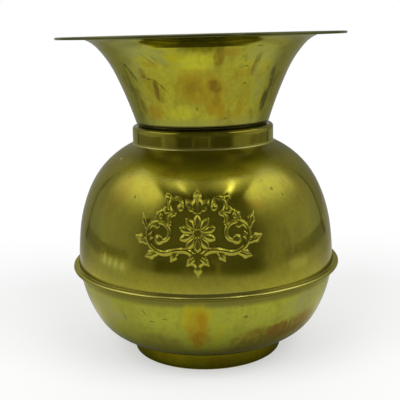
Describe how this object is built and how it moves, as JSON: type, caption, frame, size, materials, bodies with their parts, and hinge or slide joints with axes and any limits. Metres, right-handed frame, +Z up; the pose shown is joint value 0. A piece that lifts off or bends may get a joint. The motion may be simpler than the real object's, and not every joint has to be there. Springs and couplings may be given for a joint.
{
  "type": "brass spittoon",
  "caption": "Round-bellied sheet brass spittoon on a foot ring, with a trumpet mouth that lifts out of the collar for emptying.",
  "frame": {"origin": "centre of the foot ring's flat underside, where the spittoon stands", "axes": "+Z up along the axis that every piece is turned about, -Y towards the front of the picture, +X to its right"},
  "size_m": [0.2368, 0.2368, 0.267],
  "materials": {
    "foot_brass": "polished, tarnished dark olive",
    "body_brass": "polished, tarnished olive",
    "band_brass": "polished, tarnished dark olive",
    "mouth_brass": "polished, with amber stains"
  },
  "bodies": {
    "vessel": {"foot_ring": "foot_brass", "lower_bowl": "body_brass", "upper_bowl": "body_brass", "seam_band": "band_brass"},
    "mouth": {"mouth_funnel": "mouth_brass"}
  },
  "joints": [
    {"name": "mouth_lift", "type": "slide", "parent": "vessel", "child": "mouth", "axis": [0, 0, 1], "range_m": [0, 0.08]}
  ]
}
